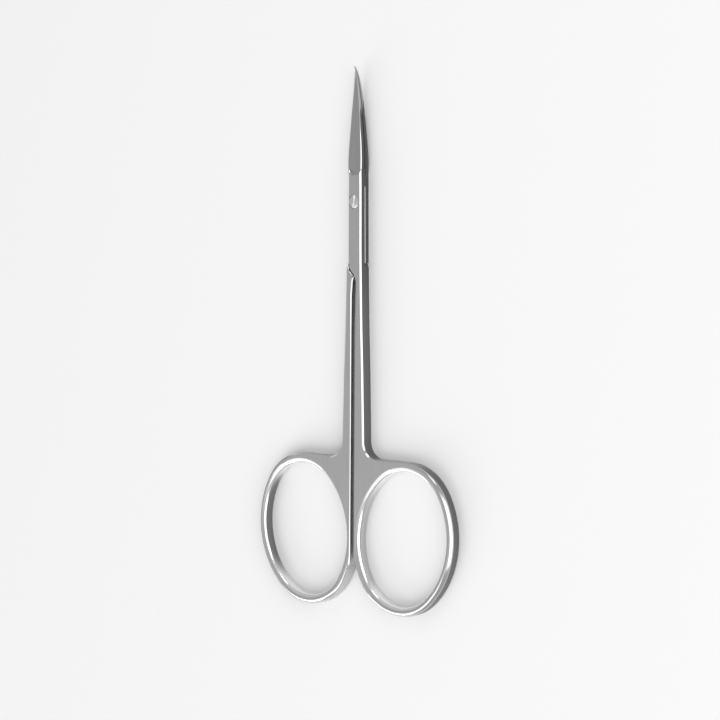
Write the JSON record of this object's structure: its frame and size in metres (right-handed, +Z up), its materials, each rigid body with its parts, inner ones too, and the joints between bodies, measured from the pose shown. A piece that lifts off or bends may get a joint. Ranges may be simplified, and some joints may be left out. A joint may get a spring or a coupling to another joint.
{
  "type": "cuticle scissors",
  "caption": "Slim hand scissors with oval finger rings, a lap joint on a slotted pivot screw, and short pointed blades hooked to the front, for trimming cuticles.",
  "frame": {"origin": "on the surface that the scissors lie on, under the middle of their length and midway between the rings", "axes": "+Y from the rings to the blade tips, +X from the middle to the ring of the front half, +Z up from the flat back to the screw head"},
  "size_m": [0.0532, 0.1142, 0.0031],
  "materials": {
    "satin_steel": "satin",
    "screw_steel": "polished"
  },
  "bodies": {
    "back": {"back_half": "satin_steel", "pivot_screw": "screw_steel"},
    "front": {"front_half": "satin_steel"}
  },
  "joints": [
    {"name": "pivot", "type": "hinge", "parent": "back", "child": "front", "pos_m": [0, 0.02905, 0.00147], "axis": [0, 0, 1], "range_deg": [0, 150]}
  ]
}
